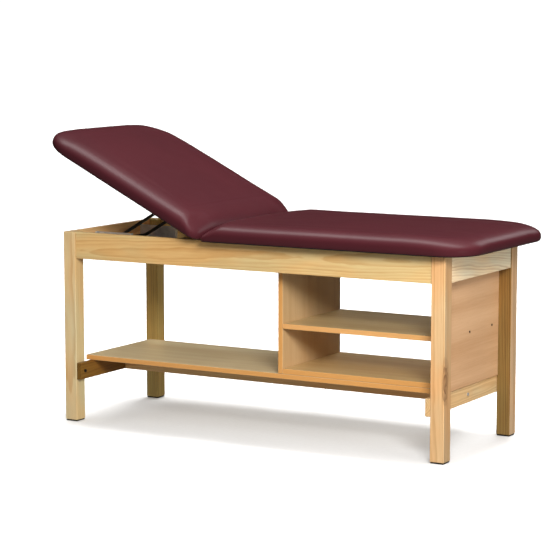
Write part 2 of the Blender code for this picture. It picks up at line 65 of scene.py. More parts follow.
# ---------------------------------------------------------------- materials
class Graph:
    """A material's node tree, with a short way to add and join nodes."""

    def __init__(self, name):
        self.material = bpy.data.materials.new(name)
        self.material.use_nodes = True
        self.tree = self.material.node_tree
        self.tree.nodes.clear()
        self.shader = self.node("ShaderNodeBsdfPrincipled")
        out = self.node("ShaderNodeOutputMaterial")
        self.join(self.shader.outputs[0], out.inputs["Surface"])
        self.coords = self.node("ShaderNodeTexCoord")

    def node(self, kind, **settings):
        made = self.tree.nodes.new(kind)
        for key, value in settings.items():
            setattr(made, key, value)
        return made

    def join(self, a, b):
        self.tree.links.new(a, b)

    def feed(self, socket, value):
        if isinstance(value, bpy.types.NodeSocket):
            self.join(value, socket)
        else:
            socket.default_value = value

    def set(self, **values):
        for key, value in values.items():
            self.feed(self.shader.inputs[key.replace("_", " ")], value)

    def place(self, rotation=(0, 0, 0), location=(0, 0, 0), scale=(1, 1, 1), source=None):
        """Object coordinates turned, moved and scaled."""
        made = self.node("ShaderNodeMapping", vector_type="POINT")
        self.join(source or self.coords.outputs["Object"], made.inputs["Vector"])
        made.inputs["Location"].default_value = location
        made.inputs["Rotation"].default_value = rotation
        made.inputs["Scale"].default_value = scale
        return made.outputs[0]

    def noise(self, vector, scale, detail=2.0, rough=0.5, distort=0.0):
        made = self.node("ShaderNodeTexNoise")
        self.join(vector, made.inputs["Vector"])
        made.inputs["Scale"].default_value = scale
        made.inputs["Detail"].default_value = detail
        made.inputs["Roughness"].default_value = rough
        made.inputs["Distortion"].default_value = distort
        return made.outputs["Fac"]

    def voronoi(self, vector, scale):
        made = self.node("ShaderNodeTexVoronoi", feature="F1")
        self.join(vector, made.inputs["Vector"])
        made.inputs["Scale"].default_value = scale
        return made.outputs["Distance"]

    def math(self, operation, a, b=0.0, clamp=False):
        made = self.node("ShaderNodeMath", operation=operation, use_clamp=clamp)
        self.feed(made.inputs[0], a)
        self.feed(made.inputs[1], b)
        return made.outputs[0]

    def vector_math(self, operation, a, b=None):
        made = self.node("ShaderNodeVectorMath", operation=operation)
        self.feed(made.inputs[0], a)
        if b is not None:
            self.feed(made.inputs[1], b)
        return made.outputs["Value" if operation == "LENGTH" else "Vector"]

    def ramp(self, value, low, high, to_low=0.0, to_high=1.0):
        made = self.node("ShaderNodeMapRange", interpolation_type="SMOOTHSTEP")
        self.feed(made.inputs["Value"], value)
        made.inputs["From Min"].default_value = low
        made.inputs["From Max"].default_value = high
        made.inputs["To Min"].default_value = to_low
        made.inputs["To Max"].default_value = to_high
        return made.outputs["Result"]

    def mix(self, factor, a, b, blend="MIX"):
        made = self.node("ShaderNodeMix", data_type="RGBA", blend_type=blend)
        self.feed(made.inputs["Factor"], factor)
        colours = [s for s in made.inputs if s.type == "RGBA"]
        for socket, value in zip(colours, (a, b)):
            if isinstance(value, (tuple, list)):
                value = (*value[:3], 1.0)
            self.feed(socket, value)
        return [s for s in made.outputs if s.type == "RGBA"][0]

    def bump(self, height, strength, distance):
        made = self.node("ShaderNodeBump")
        self.feed(made.inputs["Height"], height)
        made.inputs["Strength"].default_value = strength
        made.inputs["Distance"].default_value = distance
        return made.outputs[0]

    def split(self, vector):
        made = self.node("ShaderNodeSeparateXYZ")
        self.join(vector, made.inputs[0])
        return made.outputs

    def combine(self, x, y, z):
        made = self.node("ShaderNodeCombineXYZ")
        for socket, value in zip(made.inputs, (x, y, z)):
            self.feed(socket, value)
        return made.outputs[0]


def srgb(r, g, b):
    """An 8-bit display colour as linear values."""
    out = []
    for v in (r, g, b):
        v /= 255
        out.append(v / 12.92 if v <= 0.04045 else ((v + 0.055) / 1.055) ** 2.4)
    return tuple(out)


# Turns that bring each grain direction to X, and the tints that a board drifts between
TURNS = {"X": (0, 0, 0), "Y": (0, 0, math.radians(90)), "Z": (0, math.radians(90), 0)}
BLUSH = (1.07, 0.93, 0.78)
SAGE = (0.97, 0.995, 0.98)
BARK = srgb(112, 76, 48)


def wood(name, grain, pith, light, dark, spacing=0.008, wander=0.012, contrast=0.55,
         shift=0.0, tilt=(0, 0), figure=0.0, tone=0.10, knot=None, flank=None, back=None):
    """Clear-lacquered timber: rings around a pith line, fibres, pores and slow drifts in tone.

    pith is the line's place on the two axes across the grain; knot is (centre, radii, depth);
    The tints given for faces turned to +-X and to +Y paint shade and light by face direction: sides
    darker where shade falls, and other faces lighter on legs whose near face is painted in shade.
    """
    g = Graph(name)
    a, b = pith
    origin = (shift, -b, a) if grain == "Z" else (shift, -a, -b)
    turned = g.place(rotation=TURNS[grain], location=origin)
    tilted = g.place(rotation=(0, tilt[0], tilt[1]), source=turned)
    slow = g.noise(g.place(scale=(1.4, 7.0, 7.0), source=tilted), 1.0, detail=2)
    elsewhere = g.place(scale=(1.1, 6.0, 6.0), location=(7, 1, 4), source=tilted)
    slow_b = g.noise(elsewhere, 1.0, detail=2)
    _, y, z = g.split(tilted)
    swing = g.math("MULTIPLY", g.math("SUBTRACT", slow, 0.5), wander * 4)
    swing_b = g.math("MULTIPLY", g.math("SUBTRACT", slow_b, 0.5), wander * 4)
    across = g.combine(0.0, g.math("ADD", y, swing), g.math("ADD", z, swing_b))
    radius = g.vector_math("LENGTH", across)
    ripple = g.noise(g.place(scale=(14, 70, 70), source=tilted), 1.0, detail=1)
    radius = g.math("ADD", radius, g.math("MULTIPLY", ripple, spacing * 0.45))
    years = g.math("DIVIDE", radius, spacing)
    phase = g.math("FRACT", years)
    ring = g.math("MULTIPLY", g.ramp(phase, 0.15, 0.90), g.ramp(phase, 0.92, 1.0, 1.0, 0.0))
    year = g.noise(g.combine(0.0, years, 0.0), 0.55, detail=0)
    ring = g.math("MULTIPLY", ring, g.ramp(year, 0.30, 0.70, 0.25, 1.0))
    fibre = g.noise(g.place(scale=(8, 330, 330), source=tilted), 1.0, detail=2, rough=0.65)
    pores = g.ramp(g.noise(g.place(scale=(22, 800, 800), source=tilted), 1.0, detail=1), 0.60, 0.78)
    curl = g.noise(g.place(scale=(9, 26, 26), source=tilted), 1.0, detail=1, distort=0.6)
    streak = g.noise(g.place(scale=(4, 120, 120), source=tilted), 1.0, detail=2, rough=0.6)
    apart = g.place(scale=(3, 11, 11), location=(2, 9, 5), source=tilted)
    patch = g.noise(apart, 1.0, detail=2)
    depth = g.math("MULTIPLY", ring, contrast)
    for amount, source in ((0.34, fibre), (0.50, streak), (figure, curl), (tone * 4, slow)):
        if amount:
            drift = g.math("SUBTRACT", source, 0.5)
            depth = g.math("ADD", depth, g.math("MULTIPLY", drift, amount))
    depth = g.math("ADD", depth, g.math("MULTIPLY", pores, 0.14))
    depth = g.math("ADD", depth, 0.15, clamp=True)
    colour = g.mix(depth, light, dark)
    blush = g.mix(1.0, colour, BLUSH, "MULTIPLY")
    sage = g.mix(1.0, colour, SAGE, "MULTIPLY")
    colour = g.mix(g.ramp(patch, 0.35, 0.65), sage, blush)
    nx, ny, _ = g.split(g.coords.outputs["Normal"])
    # Painted shade and light by face direction: faces turned to +-X or +Y are tinted darker or
    # lighter for how light falls on them.
    for facing, tint in ((g.math("ABSOLUTE", nx), flank), (ny, back)):
        if tint:
            painted_shading_mask = g.ramp(facing, 0.6, 0.8)
            colour = g.mix(painted_shading_mask, colour, g.mix(1.0, colour, tint, "MULTIPLY"))
    if knot:
        centre, radii, strength = knot
        near = g.vector_math("SUBTRACT", g.coords.outputs["Object"], centre)
        near = g.vector_math("DIVIDE", near, radii)
        flow = g.noise(g.place(scale=(30, 30, 9)), 1.0, detail=3, distort=1.2)
        reach = g.math("ADD", g.vector_math("LENGTH", near), g.math("MULTIPLY", flow, 0.9))
        bark = g.math("MULTIPLY", g.ramp(reach, 0.75, 1.45, 1.0, 0.0), strength)
        lines = g.ramp(g.math("FRACT", g.math("MULTIPLY", reach, 4.0)), 0.0, 1.0, 0.35, 1.0)
        colour = g.mix(g.math("MULTIPLY", bark, lines), colour, BARK)
    g.set(Base_Color=colour, Specular_IOR_Level=0.40)
    g.set(Coat_Weight=0.20, Coat_Roughness=0.30)
    g.set(Roughness=g.ramp(fibre, 0.3, 0.7, 0.38, 0.52))
    height = g.math("SUBTRACT", g.math("MULTIPLY", fibre, 0.6), g.math("MULTIPLY", pores, 0.5))
    g.set(Normal=g.bump(height, 0.25, 0.0004))
    return g.material


def laminate(name, top, top_dark, edge, edge_axes, grain, shift):
    """Satin wood-print laminate on board, with a plain warm edge band on the cut edges."""
    g = Graph(name)
    turned = g.place(rotation=TURNS[grain], location=(shift, shift * 0.7, 0))
    slow = g.noise(g.place(scale=(0.8, 14, 14), source=turned), 1.0, detail=4, rough=0.6)
    grain_line = g.noise(g.place(scale=(5, 260, 260), source=turned), 1.0, detail=3, rough=0.65)
    tick = g.noise(g.place(scale=(30, 700, 700), source=turned), 1.0, detail=1)
    tick = g.ramp(tick, 0.62, 0.75)
    amount = g.math("MULTIPLY", g.ramp(slow, 0.30, 0.70), 0.55)
    amount = g.math("ADD", amount, g.math("MULTIPLY", grain_line, 0.45))
    amount = g.math("ADD", amount, g.math("MULTIPLY", tick, 0.22), clamp=True)
    face = g.mix(amount, top, top_dark)
    fine = g.noise(g.place(scale=(40, 600, 600), source=turned), 1.0, detail=2)
    band_tone = g.noise(g.place(scale=(3, 3, 3)), 1.0, detail=2)
    band = g.mix(g.math("MULTIPLY", fine, 0.5), edge, tuple(c * 0.80 for c in edge))
    band = g.mix(g.math("MULTIPLY", band_tone, 0.18), band, tuple(c * 0.7 for c in edge))
    nx, ny, nz = g.split(g.coords.outputs["Normal"])
    facing = {"X": nx, "Y": ny, "Z": nz}
    mask = 0.0
    for axis in edge_axes:
        mask = g.math("MAXIMUM", g.math("ABSOLUTE", facing[axis]), mask)
    mask = g.ramp(mask, 0.60, 0.80)
    g.set(Base_Color=g.mix(mask, face, band), Specular_IOR_Level=0.5)
    g.set(Coat_Weight=0.15, Coat_Roughness=0.30)
    g.set(Roughness=g.ramp(grain_line, 0.3, 0.7, 0.34, 0.46))
    g.set(Normal=g.bump(g.math("ADD", grain_line, tick), 0.12, 0.0003))
    return g.material


VINYL_LIGHT = srgb(76, 31, 37)
VINYL_DARK = srgb(72, 29, 35)
# The third tone is painted shade for the pebble grain's crevices.
VINYL_CREVICE_SHADE = srgb(58, 23, 29)


def vinyl(name):
    """Satin upholstery vinyl: a fine pebble grain under a soft sheen."""
    g = Graph(name)
    cells = g.voronoi(g.place(), 780.0)
    fine = g.noise(g.place(), 1500.0, detail=2)
    pebble = g.math("ADD", g.math("MULTIPLY", cells, 0.8), g.math("MULTIPLY", fine, 0.25))
    hand = g.noise(g.place(), 4.0, detail=2)
    base = g.mix(g.ramp(hand, 0.3, 0.7), VINYL_LIGHT, VINYL_DARK)
    # Painted shade: the pebble grain's cell borders darken a little towards the crevice tone.
    base = g.mix(g.math("MULTIPLY", g.ramp(cells, 0.25, 0.75), 0.20), base, VINYL_CREVICE_SHADE)
    g.set(Base_Color=base, Specular_IOR_Level=0.40)
    g.set(Roughness=g.ramp(hand, 0.3, 0.7, 0.31, 0.34))
    g.set(Normal=g.bump(pebble, 0.10, 0.0004))
    return g.material


def cambric(name):
    """Black non-woven dust cover stapled under the boards."""
    g = Graph(name)
    web = g.noise(g.place(), 900.0, detail=3, rough=0.7)
    dots = g.voronoi(g.place(), 420.0)
    base = g.mix(g.ramp(web, 0.35, 0.65), srgb(24, 24, 25), srgb(44, 43, 43))
    g.set(Base_Color=base, Specular_IOR_Level=0.2)
    g.set(Roughness=g.ramp(web, 0.3, 0.7, 0.82, 0.95))
    g.set(Normal=g.bump(g.math("ADD", web, g.ramp(dots, 0.1, 0.4)), 0.35, 0.0004))
    return g.material


def painted_steel(name):
    """Satin black paint with a slight orange peel and thin wear."""
    g = Graph(name)
    peel = g.noise(g.place(), 650.0, detail=2)
    worn = g.noise(g.place(), 38.0, detail=5, rough=0.7)
    base = g.mix(g.ramp(worn, 0.45, 0.75), srgb(18, 18, 19), srgb(34, 33, 33))
    g.set(Base_Color=base, Specular_IOR_Level=0.5)
    g.set(Roughness=g.ramp(worn, 0.3, 0.7, 0.30, 0.44))
    g.set(Normal=g.bump(peel, 0.10, 0.0003))
    return g.material


def zinc(name):
    """Bright zinc plate with drawing lines and a faint spangle."""
    g = Graph(name)
    lines = g.noise(g.place(scale=(30, 900, 900)), 1.0, detail=2)
    spangle = g.noise(g.place(), 40.0, detail=2)
    base = g.mix(g.ramp(spangle, 0.3, 0.7), srgb(226, 229, 233), srgb(206, 210, 216))
    g.set(Base_Color=base, Metallic=0.65)
    g.set(Roughness=g.ramp(lines, 0.3, 0.7, 0.34, 0.40))
    g.set(Normal=g.bump(lines, 0.02, 0.00005))
    return g.material


def moulded(name):
    """Matte black plastic glide."""
    g = Graph(name)
    grain = g.noise(g.place(), 1100.0, detail=2)
    scuff = g.noise(g.place(), 60.0, detail=4)
    base = g.mix(g.ramp(scuff, 0.4, 0.7), srgb(20, 20, 20), srgb(36, 35, 34))
    g.set(Base_Color=base, Specular_IOR_Level=0.4)
    g.set(Roughness=g.ramp(scuff, 0.3, 0.7, 0.48, 0.62))
    g.set(Normal=g.bump(grain, 0.2, 0.0003))
    return g.material


def dress(node, material):
    """Gives a CAD node one material."""
    mesh = nodes[node].data
    if not mesh.materials:
        mesh.materials.append(material)
    for i in range(len(mesh.materials)):
        mesh.materials[i] = material


PALE = srgb(242, 212, 153)
PALE_DARK = srgb(206, 150, 82)
GREY = srgb(255, 243, 214)
GREY_DARK = srgb(208, 178, 138)
WARM = srgb(246, 202, 146)
WARM_DARK = srgb(206, 150, 90)
# Painted shade: maple for the head-end rails, darkened to the shade they sit in inside the frame's
# head end.
SHADED_BROWN = srgb(142, 100, 38)
SHADED_BROWN_DARK = srgb(92, 56, 16)
TIMBER = {
    "side_apron_near": dict(
        grain="X", pith=(-0.262, 0.668), light=PALE, dark=PALE_DARK, spacing=0.0085,
        wander=0.010, contrast=0.50, tilt=(0.030, 0.0), shift=0.4, figure=0.16,
    ),
    "side_apron_far": dict(
        grain="X", pith=(0.36, 0.66), light=srgb(254, 222, 150), dark=srgb(220, 172, 100),
        spacing=0.009, shift=3.1, tilt=(0.02, 0.01),
    ),
    "end_apron_foot": dict(
        grain="Y", pith=(0.72, 0.640), light=GREY, dark=GREY_DARK, spacing=0.0085,
        wander=0.022, contrast=0.60, shift=1.3, figure=0.15, tilt=(0.10, 0.0),
    ),
    "end_apron_head": dict(
        grain="Y", pith=(-0.74, 0.70), light=WARM, dark=WARM_DARK, spacing=0.008, shift=5.2,
    ),
    # Painted shade: the tint for the +-X faces darkens this leg's sides against its front.
    "leg_head_near": dict(
        grain="Z", pith=(-0.80, -0.42), light=srgb(244, 224, 178), dark=srgb(208, 158, 96),
        spacing=0.0070, wander=0.005, contrast=0.35, shift=0.7, flank=(0.80, 0.80, 0.76),
    ),
    # Painted shade: this leg's colours are darkened to the shade on its near face, and the +Y tint
    # lifts its far face back towards plain maple.
    "leg_head_far": dict(
        grain="Z", pith=(-0.86, 0.24), light=srgb(212, 180, 106), dark=srgb(152, 112, 54),
        spacing=0.0075, wander=0.007, contrast=0.50, shift=2.9, tilt=(0.01, 0.02),
        back=(1.35, 1.40, 1.85),
    ),
    # Painted shade: the tint for the +-X faces darkens this leg's sides against its front; the knot
    # is the wood's own.
    "leg_foot_near": dict(
        grain="Z", pith=(0.800, -0.268), light=srgb(238, 196, 146), dark=srgb(198, 146, 92),
        spacing=0.0090, wander=0.012, contrast=0.50, figure=0.10, shift=5.6, tilt=(0.02, 0.015),
        knot=((0.772, -0.300, 0.290), (0.012, 0.040, 0.115), 0.85), flank=(0.70, 0.74, 0.80),
    ),
    # Painted shade: this leg's colours are darkened to the shade on its near face; the +-X and +Y
    # tints lift its other faces back towards plain maple.
    "leg_foot_far": dict(
        grain="Z", pith=(0.70, 0.30), light=srgb(150, 118, 66), dark=srgb(94, 64, 30),
        spacing=0.0065, wander=0.006, contrast=0.60, shift=8.3, tilt=(0.0, 0.012),
        flank=(2.4, 2.78, 5.5), back=(2.3, 2.6, 4.0),
    ),
    "cross_rail_foot": dict(
        grain="Y", pith=(0.69, 0.200), light=srgb(230, 202, 156), dark=srgb(180, 142, 96),
        spacing=0.0075, wander=0.016, contrast=0.60, shift=2.2, figure=0.10,
    ),
    "cross_rail_head": dict(
        grain="Y", pith=(-0.70, 0.15), light=SHADED_BROWN, dark=SHADED_BROWN_DARK, spacing=0.007, shift=8.1,
    ),
    "centre_stretcher": dict(
        grain="X", pith=(0.05, 0.14), light=WARM, dark=WARM_DARK, spacing=0.007, shift=4.4,
    ),
    "hinge_rail": dict(
        grain="Y", pith=(-0.16, 0.65), light=SHADED_BROWN, dark=SHADED_BROWN_DARK, spacing=0.007,
    ),
    "rack_rail_head": dict(
        grain="Y", pith=(-0.73, 0.60), light=SHADED_BROWN, dark=SHADED_BROWN_DARK, spacing=0.006, shift=2.7,
    ),
    "rack_rail_foot": dict(
        grain="Y", pith=(-0.60, 0.61), light=SHADED_BROWN, dark=SHADED_BROWN_DARK, spacing=0.006, shift=6.2,
    ),
}
for node, facts in TIMBER.items():
    dress(node, wood(f"maple_{node}", **facts))

BOARD_TOP = srgb(222, 194, 142)
BOARD_DARK = srgb(192, 156, 100)
BAND = srgb(240, 173, 98)
# Painted light: a lighter copy of the edge band, for the mid shelf's more brightly lit front.
BAND_LIT = srgb(251, 187, 115)
BOARDS = {
    "lower_shelf": (
        "laminate_shelf", srgb(232, 214, 172), srgb(206, 176, 128), BAND, "XY", "X", 0.0,
    ),
    "cabinet_base": ("laminate_base", BOARD_TOP, BOARD_DARK, BAND, "XY", "X", 1.9),
    "cabinet_shelf": ("laminate_mid", BOARD_TOP, BOARD_DARK, BAND_LIT, "XY", "X", 4.3),
    "cabinet_divider": (
        "laminate_divider", srgb(226, 194, 146), srgb(196, 156, 106), BAND, "YZ", "Z", 2.6,
    ),
    "cabinet_end_panel": (
        "laminate_panel", srgb(230, 186, 142), srgb(198, 150, 106), BAND, "YZ", "Y", 6.6,
    ),
}
for node, facts in BOARDS.items():
    dress(node, laminate(*facts))

BLACK_CLOTH = cambric("black_cambric")
BLACK_STEEL = painted_steel("black_painted_steel")
ZINC = zinc("bright_zinc")
PLASTIC = moulded("black_moulded_plastic")
VINYL = vinyl("burgundy_vinyl")
for node in ("seat_deck", "back_deck"):
    dress(node, BLACK_CLOTH)
for node in nodes:
    if node.startswith("glide_"):
        dress(node, PLASTIC)
    elif node.startswith(("rack_bracket", "hinge_pin", "bail_screw", "stretcher_bolt")):
        dress(node, ZINC)
    elif node.startswith(("rail_bolt", "rack_screw", "panel_screw", "hinge_leaf", "bail")):
        dress(node, BLACK_STEEL)


# ---------------------------------------------------------------- cushions
ARC_CELLS = 10                  # cells in each half of a corner
ROLL_STEPS = 18
SEAT_CELLS = (96, 76)
BACK_CELLS = (76, 76)
COVER_AND_SHADOW_RINGS = 7                # rings of black cloth from under the board round the pad's lower corner, about 4 mm up: real cover beneath, a painted shadow line along the side

# Outer end: the top falls away towards the end, most at its corners
FALL = 0.020
FALL_LENGTH = 0.26
FALL_WIDTH = 0.20
FALL_AT_MIDDLE = 0.30

# Hinge end: pulled down at the corners, bowed up between them
CORNER_FALL = 0.028
CORNER_LENGTH = 0.080
CORNER_WIDTH = 0.16
HINGE_BOW = 0.005
HINGE_BOW_REACH = 0.25

# Unevenness of foam under vinyl, and the gathers and creases at the outer corners
WAVE = 0.0007
FINE_WAVE = 0.00025
SIDE_WAVE = 0.0005
FOLD = 0.0011
FOLD_RATE = 40                  # ten gathers round a quarter turn
FOLD_HEIGHT = 0.030
CREASE = 0.0012
CREASES = ((0.016, 0.0035, 1.0), (0.027, 0.0030, 0.6))     # height, half width, share

# Cloth simulation
CLOTH_QUALITY = 3
CLOTH_FRAMES = 20
CLOTH_MASS = 0.3
CLOTH_STRETCH = 30
CLOTH_SHEAR = 15
CLOTH_BENDING = 4
CLOTH_PRESSURE = 4
CLOTH_EASE = 70                 # passes that even out the swelling
CLOTH_CAP = 0.007               # the furthest that a point moves
STAPLE_HIGH = 0.010
STAPLE_FADE = 0.030
HINGE_CLEAR = 0.03
HINGE_FADE = 0.22


def outline(u0, u1, half, radius_hinge, radius_outer, inset, cells_u, cells_v):
    """Closed loop round a cushion in plan, starting half way round the near hinge corner."""
    u0, u1, half = u0 + inset, u1 - inset, half - inset
    corners = []
    for u, v, radius, first in (
        (u0, -half, radius_hinge, 225), (u1, -half, radius_outer, 315),
        (u1, half, radius_outer, 45), (u0, half, radius_hinge, 135),
    ):
        r = max(radius - 0.75 * inset, 0.25 * radius)
        centre = (u + (r if u == u0 else -r), v + (r if v < 0 else -r))
        corners.append((centre, r, first))
    points = []
    counts = (cells_u, cells_v, cells_u, cells_v)
    for i, count in enumerate(counts):
        (c0, r0, a0), (c1, r1, a1) = corners[i], corners[(i + 1) % 4]
        for k in range(ARC_CELLS):
            a = math.radians(a0 + 45 * k / ARC_CELLS)
            points.append((c0[0] + r0 * math.cos(a), c0[1] + r0 * math.sin(a)))
        start = math.radians(a0 + 45)
        p = (c0[0] + r0 * math.cos(start), c0[1] + r0 * math.sin(start))
        q = (c1[0] + r1 * math.cos(start), c1[1] + r1 * math.sin(start))
        straight = count - 2 * ARC_CELLS
        for k in range(straight):
            t = k / straight
            points.append((p[0] + (q[0] - p[0]) * t, p[1] + (q[1] - p[1]) * t))
        for k in range(ARC_CELLS):
            a = start + math.radians(45 * k / ARC_CELLS)
            points.append((c1[0] + r1 * math.cos(a), c1[1] + r1 * math.sin(a)))
    return np.array(points)


def coons(loop, cells_u, cells_v):
    """Grid filled in from the closed loop that bounds it."""
    nu, nv = cells_u, cells_v
    bottom = loop[0:nu + 1]
    right = loop[nu:nu + nv + 1]
    top = loop[nu + nv:2 * nu + nv + 1][::-1]
    left = np.vstack([loop[2 * nu + nv:], loop[:1]])[::-1]
    s = np.linspace(0, 1, nu + 1)[:, None, None]
    t = np.linspace(0, 1, nv + 1)[None, :, None]
    ruled_v = (1 - t) * bottom[:, None] + t * top[:, None]
    ruled_u = (1 - s) * left[None] + s * right[None]
    corners = (
        (1 - s) * (1 - t) * bottom[0] + s * (1 - t) * bottom[-1]
        + (1 - s) * t * top[0] + s * t * top[-1]
    )
    return ruled_v + ruled_u - corners


def section():
    """Inset and height up the cushion's edge: tuck under the board, skirt, bullnose, top."""
    points = [
        (0.0360, DECK_LOW + 0.0014), (0.0350, DECK_LOW + 0.0002), (0.0330, DECK_LOW - 0.0001),
        (0.0240, DECK_LOW - 0.0001), (0.0140, DECK_LOW - 0.0001), (0.0090, DECK_LOW + 0.0003),
        (0.0058, DECK_LOW + 0.0016), (0.0036, DECK_LOW + 0.0042), (0.0020, DECK_LOW + 0.0078),
        (0.0008, DECK_LOW + 0.0120), (0.0002, DECK_LOW + 0.0165),
    ]
    wide = DECK_LOW + SKIRT_TOP
    rise = PAD_EDGE - wide
    for i in range(ROLL_STEPS + 1):
        a = math.radians(90 * i / ROLL_STEPS)
        points.append((
            ROLL_WIDTH * (1 - math.cos(a) ** (2 / ROLL_POWER)),
            wide + rise * math.sin(a) ** (2 / ROLL_POWER),
        ))
    return points


def cushion(length, cells_u, cells_v):
    """Points and faces of a crowned pad that starts at the hinge."""
    rings = []
    for inset, w in section():
        loop = outline(
            0.0, length, HALF_WIDTH, HINGE_RADIUS, OUTER_RADIUS, inset, cells_u, cells_v,
        )
        rings.append(np.column_stack([loop, np.full(len(loop), w)]))
    patch = coons(rings[-1], cells_u, cells_v)
    a = patch[..., 0] / length * 2 - 1
    b = patch[..., 1] / HALF_WIDTH
    bulge = np.clip(1 - a ** 4, 0, 1) * np.clip(1 - b ** 2, 0, 1)
    edge_bulge = bulge[0, bulge.shape[1] // 2]
    crown = np.clip((bulge - edge_bulge) / (1 - edge_bulge), 0, 1)
    patch[..., 2] += PAD_CROWN * crown ** 2 * (3 - 2 * crown)
    around = len(rings[0])
    points = np.vstack(rings)
    faces = []
    for r in range(len(rings) - 1):
        for i in range(around):
            j = (i + 1) % around
            low, high = r * around, (r + 1) * around
            faces.append((low + i, low + j, high + j, high + i))
    last = (len(rings) - 1) * around
    points = fill_in(points, faces, patch, last, cells_u, cells_v, False)
    under = coons(rings[0], cells_u, cells_v)
    points = fill_in(points, faces, under, 0, cells_u, cells_v, True)
    return points, faces


def fill_in(points, faces, patch, first, cells_u, cells_v, flip):
    """Adds a grid of faces inside the loop whose points start at first."""
    around = 2 * (cells_u + cells_v)
    index = np.full((cells_u + 1, cells_v + 1), -1)
    for i in range(cells_u + 1):
        index[i, 0] = first + i
        index[i, cells_v] = first + (2 * cells_u + cells_v - i) % around
    for j in range(cells_v + 1):
        index[cells_u, j] = first + cells_u + j
        index[0, j] = first + (around - j) % around
    inner = []
    for i in range(1, cells_u):
        for j in range(1, cells_v):
            index[i, j] = len(points) + len(inner)
            inner.append(patch[i, j])
    for i in range(cells_u):
        for j in range(cells_v):
            quad = (index[i, j], index[i + 1, j], index[i + 1, j + 1], index[i, j + 1])
            faces.append(tuple(int(k) for k in (quad[::-1] if flip else quad)))
    return np.vstack([points, np.array(inner)])


def ease(t):
    """Smooth step from 0 to 1."""
    t = min(1.0, max(0.0, t))
    return t * t * (3 - 2 * t)


def shape(points, length, seed):
    """Lean of the hinge face, falls at the ends, corner tucks and the unevenness of foam."""
    out = points.copy()
    for n, (u, v, w) in enumerate(points):
        near = 1.0 - min(1.0, max(0.0, (u - ROLL_WIDTH) / OUTER_RADIUS))
        lift = max(0.0, w - DECK_LOW)
        share = min(1.0, lift / (PAD_EDGE - DECK_LOW))
        middle = 1 - (v / HALF_WIDTH) ** 2
        bow = HINGE_BOW * ease(1.0 - u / HINGE_BOW_REACH) * middle * share
        out[n, 0] += LEAN * (w + bow) * near
        wave = noise.noise(Vector((u * 5 + seed, v * 5, w * 9)))
        fine = noise.noise(Vector((u * 17 + seed, v * 17, w * 30)))
        out[n, 2] += (WAVE * wave + FINE_WAVE * fine) * share
        toward_end = min(1.0, max(0.0, (u - length + FALL_LENGTH) / FALL_LENGTH))
        toward_side = min(1.0, max(0.0, (abs(v) - HALF_WIDTH + FALL_WIDTH) / FALL_WIDTH))
        fall = FALL_AT_MIDDLE + (1 - FALL_AT_MIDDLE) * toward_side
        out[n, 2] -= FALL * toward_end ** 2 * fall * share
        toward_hinge = ease(1.0 - u / CORNER_LENGTH)
        toward_edge = ease((abs(v) - HALF_WIDTH) / CORNER_WIDTH + 1.0)
        out[n, 2] -= CORNER_FALL * toward_hinge * toward_edge * share
        out[n, 2] += bow
        side = 1.0 - min(1.0, max(0.0, (HALF_WIDTH - abs(v)) / ROLL_WIDTH))
        out[n, 1] -= math.copysign(SIDE_WAVE, v) * (1 + wave) * side * (1 - share)
        cu = u - (length - OUTER_RADIUS)
        cv = abs(v) - (HALF_WIDTH - OUTER_RADIUS)
        if cu > 0 and cv > 0:
            angle = math.degrees(math.atan2(cv, cu))
            arc = math.sin(math.radians(2 * angle)) ** 2
            low = max(0.0, 1.0 - lift / FOLD_HEIGHT)
            fold = math.sin(math.radians(angle * FOLD_RATE)) * arc * low ** 1.5
            crease = sum(
                part * math.exp(-((lift - height) / half) ** 2) for height, half, part in CREASES
            )
            reach = Vector((cu, math.copysign(cv, v), 0)).normalized()
            outward = FOLD * fold - CREASE * crease * arc
            out[n, 0] += reach.x * outward
            out[n, 1] += reach.y * outward
    return out


def inflate(pad, held, free):
    """Vinyl drawn over foam: cloth under slight pressure, held where it is stapled down.

    held is each point's pin weight, free the share of the swelling that it keeps.
    """
    group = pad.vertex_groups.new(name="stapled")
    for weight in np.unique(held):
        if weight > 0:
            group.add(np.where(held == weight)[0].tolist(), float(weight), "REPLACE")
    before = np.empty(len(pad.data.vertices) * 3)
    pad.data.vertices.foreach_get("co", before)
    cloth = pad.modifiers.new("cloth", "CLOTH")
    facts = cloth.settings
    facts.quality = CLOTH_QUALITY
    facts.mass = CLOTH_MASS
    facts.tension_stiffness = facts.compression_stiffness = CLOTH_STRETCH
    facts.shear_stiffness = CLOTH_SHEAR
    facts.bending_stiffness = CLOTH_BENDING
    facts.vertex_group_mass = group.name
    facts.use_pressure = True
    facts.uniform_pressure_force = CLOTH_PRESSURE
    facts.effector_weights.gravity = 0
    cloth.point_cache.frame_start = 1
    cloth.point_cache.frame_end = CLOTH_FRAMES
    for frame_number in range(1, CLOTH_FRAMES + 1):
        scene.frame_set(frame_number)
    seen = pad.evaluated_get(bpy.context.evaluated_depsgraph_get())
    after = np.empty(len(before))
    seen.data.vertices.foreach_get("co", after)
    pad.modifiers.remove(cloth)
    pad.vertex_groups.remove(group)
    scene.frame_set(1)
    move = (after - before).reshape(-1, 3)
    ends = np.array([edge.vertices[:] for edge in pad.data.edges])
    ends = np.vstack([ends, ends[:, ::-1]])
    neighbours = np.bincount(ends[:, 0], minlength=len(move))
    for _ in range(CLOTH_EASE):
        for axis in range(3):
            total = np.bincount(ends[:, 0], move[ends[:, 1], axis], len(move))
            move[:, axis] += 0.5 * (total / neighbours - move[:, axis])
    furthest = np.linalg.norm(move, axis=1).max()
    move *= (CLOTH_CAP / furthest * free)[:, None]
    pad.data.vertices.foreach_set("co", before + move.ravel())
    pad.data.update()


